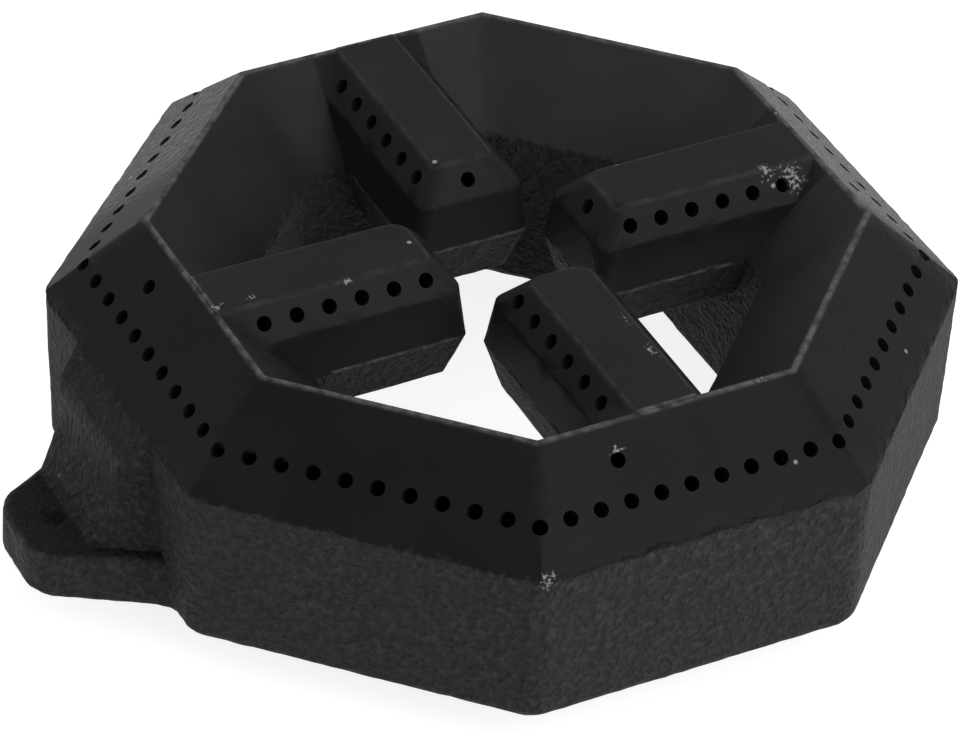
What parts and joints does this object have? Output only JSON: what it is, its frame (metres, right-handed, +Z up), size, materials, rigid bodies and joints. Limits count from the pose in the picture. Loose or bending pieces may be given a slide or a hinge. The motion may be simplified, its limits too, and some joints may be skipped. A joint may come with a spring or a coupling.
{
  "type": "gas hob burner",
  "caption": "Octagonal cast-iron gas hob burner: a roofed ring of flame ports with fingers reaching inwards, a fixing lug and a round gas inlet underneath.",
  "frame": {"origin": "on the ring's axis, level with the flat foot of its wall", "axes": "+Z up, -X out along the fixing lug, flat sides of the octagon square to X and Y"},
  "size_m": [0.1582, 0.14, 0.049],
  "materials": {
    "cast_iron": "near-black matt sand casting, coarse below the parting line and smoother on the roof and finger tops"
  },
  "bodies": {
    "root": {"burner_casting": "cast_iron"}
  },
  "joints": []
}
